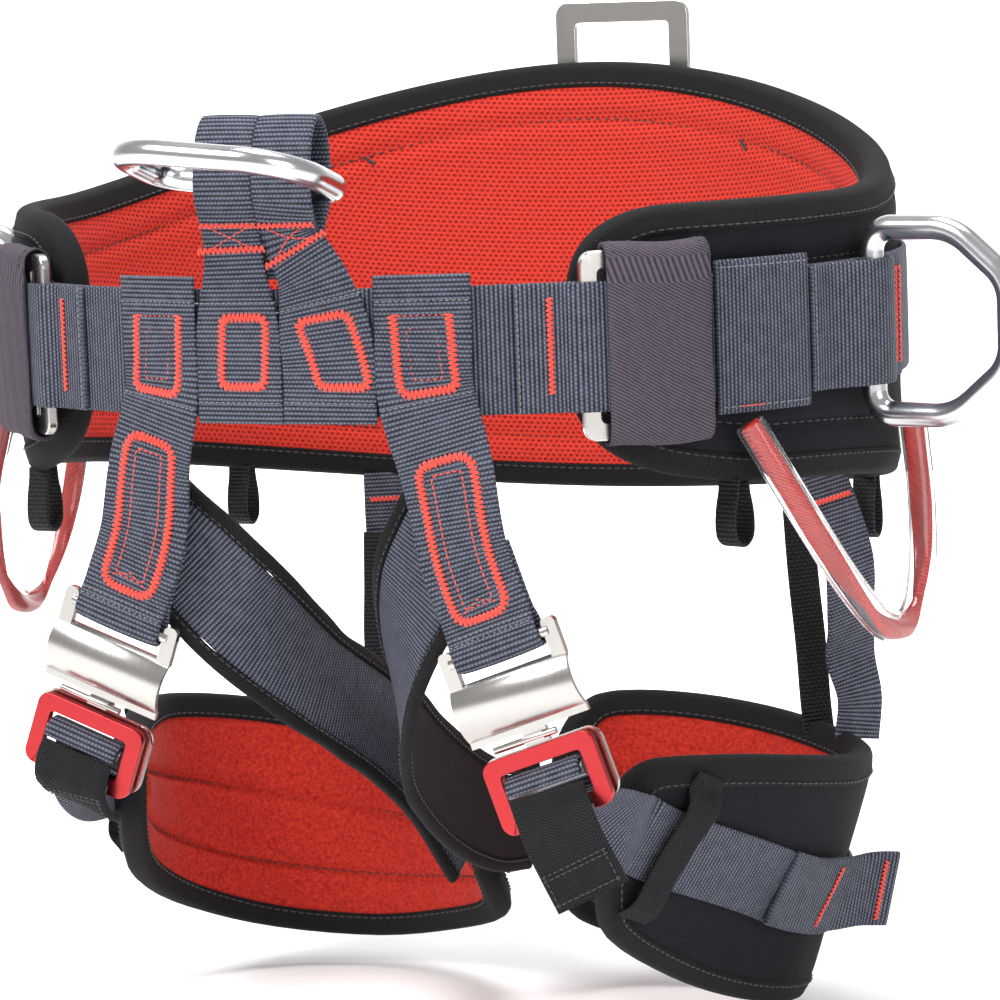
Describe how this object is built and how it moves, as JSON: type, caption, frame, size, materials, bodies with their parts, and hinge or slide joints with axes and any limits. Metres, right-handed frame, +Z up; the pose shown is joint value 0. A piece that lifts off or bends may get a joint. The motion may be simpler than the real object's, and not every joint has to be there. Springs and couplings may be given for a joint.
{
  "type": "climbing harness",
  "caption": "Padded work-positioning waist belt with two adjustable leg loops, front, side and rear attachment rings and gear loops.",
  "frame": {"origin": "centre of the waist opening, level with the belt webbing's centreline", "axes": "+Z up, the wearer looks along -Y, +X to the wearer's left"},
  "size_m": [0.4692, 0.3654, 0.3847],
  "materials": {
    "mesh_lining": "honeycomb mesh knit",
    "pad_foam": "closed-cell foam",
    "outer_fabric": "smooth stretch laminate",
    "edge_tape": "twill tape",
    "webbing": "ribbed polyester webbing",
    "rear_loop_web": "ribbed polyester webbing",
    "black_web": "herringbone tape",
    "sleeve_twill": "twill",
    "red_web": "twisted webbing",
    "clear_tube": "clear vinyl",
    "polished_alloy": "polished",
    "stainless_steel": "stamped stainless",
    "red_alloy": "anodised",
    "dark_steel": "satin"
  },
  "bodies": {
    "root": {"crotch_backing_left": "edge_tape", "crotch_backing_right": "edge_tape", "crotch_web_left": "webbing", "crotch_web_right": "webbing", "down_strap_left": "webbing", "down_strap_right": "webbing", "front_belt_web": "webbing", "hip_webs": "webbing", "keeper_sleeves": "sleeve_twill", "rear_elastic_left": "black_web", "rear_elastic_right": "black_web", "rear_ring_web": "rear_loop_web", "rear_web_left": "webbing", "rear_web_right": "webbing", "side_ring_web_left": "webbing", "side_ring_web_right": "webbing", "ventral_webs": "webbing", "waist_buckle_bars": "stainless_steel", "waist_buckle_left": "stainless_steel", "waist_buckle_right": "stainless_steel", "waist_pad_binding": "edge_tape", "waist_pad_foam": "pad_foam", "waist_pad_lining": "mesh_lining", "waist_pad_shell": "outer_fabric", "waist_webbing": "webbing"},
    "ventral_ring": {"ventral_ring": "polished_alloy"},
    "rear_ring": {"rear_ring": "stainless_steel"},
    "side_ring_left": {"side_ring_left": "polished_alloy"},
    "gear_loop_left": {"gear_tube_left": "clear_tube", "gear_web_left": "red_web"},
    "tool_loop_front_left": {"tool_loop_front_left": "black_web"},
    "tool_loop_rear_left": {"tool_loop_rear_left": "black_web"},
    "leg_loop_left": {"connector_plate_left": "stainless_steel", "connector_hook_left": "stainless_steel", "adjuster_frame_left": "red_alloy", "adjuster_bar_left": "dark_steel", "leg_pad_lining_left": "mesh_lining", "leg_pad_foam_left": "pad_foam", "leg_pad_shell_left": "outer_fabric", "leg_pad_binding_left": "edge_tape", "leg_web_left": "webbing", "leg_web_tail_left": "black_web", "leg_web_keeper_left": "black_web"},
    "side_ring_right": {"side_ring_right": "polished_alloy"},
    "gear_loop_right": {"gear_tube_right": "clear_tube", "gear_web_right": "red_web"},
    "tool_loop_front_right": {"tool_loop_front_right": "black_web"},
    "tool_loop_rear_right": {"tool_loop_rear_right": "black_web"},
    "leg_loop_right": {"connector_plate_right": "stainless_steel", "connector_hook_right": "stainless_steel", "adjuster_frame_right": "red_alloy", "adjuster_bar_right": "dark_steel", "leg_pad_lining_right": "mesh_lining", "leg_pad_foam_right": "pad_foam", "leg_pad_shell_right": "outer_fabric", "leg_pad_binding_right": "edge_tape", "leg_web_right": "webbing", "leg_web_tail_right": "black_web", "leg_web_keeper_right": "black_web"}
  },
  "joints": [
    {"name": "ventral_ring_swing", "type": "hinge", "parent": "root", "child": "ventral_ring", "pos_m": [-0.006, -0.1525, 0.059], "axis": [0.9962, 0, -0.0872], "range_deg": [-70, 80]},
    {"name": "rear_ring_swing", "type": "hinge", "parent": "root", "child": "rear_ring", "pos_m": [0.008, 0.15811, 0.07025], "axis": [-1, 0, 0], "range_deg": [0, 95]},
    {"name": "side_ring_left_swing", "type": "hinge", "parent": "root", "child": "side_ring_left", "pos_m": [0.17601, -0.0249, 0], "axis": [0, 0, 1], "range_deg": [-55, 55]},
    {"name": "side_ring_right_swing", "type": "hinge", "parent": "root", "child": "side_ring_right", "pos_m": [-0.17601, -0.0249, 0], "axis": [0, 0, 1], "range_deg": [-55, 55]},
    {"name": "gear_loop_left_swing", "type": "hinge", "parent": "root", "child": "gear_loop_left", "pos_m": [0.1625, -0.032, -0.037], "axis": [-0.2323, -0.9662, 0.1115], "range_deg": [-5, 38]},
    {"name": "gear_loop_right_swing", "type": "hinge", "parent": "root", "child": "gear_loop_right", "pos_m": [-0.1625, -0.032, -0.037], "axis": [-0.2323, 0.9662, -0.1115], "range_deg": [-5, 38]},
    {"name": "tool_loop_front_left_swing", "type": "hinge", "parent": "root", "child": "tool_loop_front_left", "pos_m": [0.13972, -0.07416, -0.05562], "axis": [0.5643, 0.8255, 0], "range_deg": [-22, 22]},
    {"name": "tool_loop_rear_left_swing", "type": "hinge", "parent": "root", "child": "tool_loop_rear_left", "pos_m": [0.13513, 0.08052, -0.0735], "axis": [-0.6088, 0.7933, 0], "range_deg": [-22, 22]},
    {"name": "tool_loop_front_right_swing", "type": "hinge", "parent": "root", "child": "tool_loop_front_right", "pos_m": [-0.13972, -0.07416, -0.05562], "axis": [0.5643, -0.8255, 0], "range_deg": [-22, 22]},
    {"name": "tool_loop_rear_right_swing", "type": "hinge", "parent": "root", "child": "tool_loop_rear_right", "pos_m": [-0.13513, 0.08052, -0.0735], "axis": [-0.6088, -0.7933, 0], "range_deg": [-22, 22]},
    {"name": "leg_loop_left_swing", "type": "hinge", "parent": "root", "child": "leg_loop_left", "pos_m": [0.08, -0.1486, -0.102], "axis": [-0.9397, 0, -0.342], "range_deg": [-4, 20], "stiffness_Nm_per_rad": 4, "springref_deg": -5.73, "deforming": ["crotch_web_left", "crotch_backing_left", "rear_web_left", "rear_elastic_left"]},
    {"name": "leg_loop_right_swing", "type": "hinge", "parent": "root", "child": "leg_loop_right", "pos_m": [-0.068, -0.1486, -0.096], "axis": [-0.9397, 0, 0.342], "range_deg": [-4, 20], "stiffness_Nm_per_rad": 4, "springref_deg": -5.73, "deforming": ["crotch_web_right", "crotch_backing_right", "rear_web_right", "rear_elastic_right"]}
  ]
}
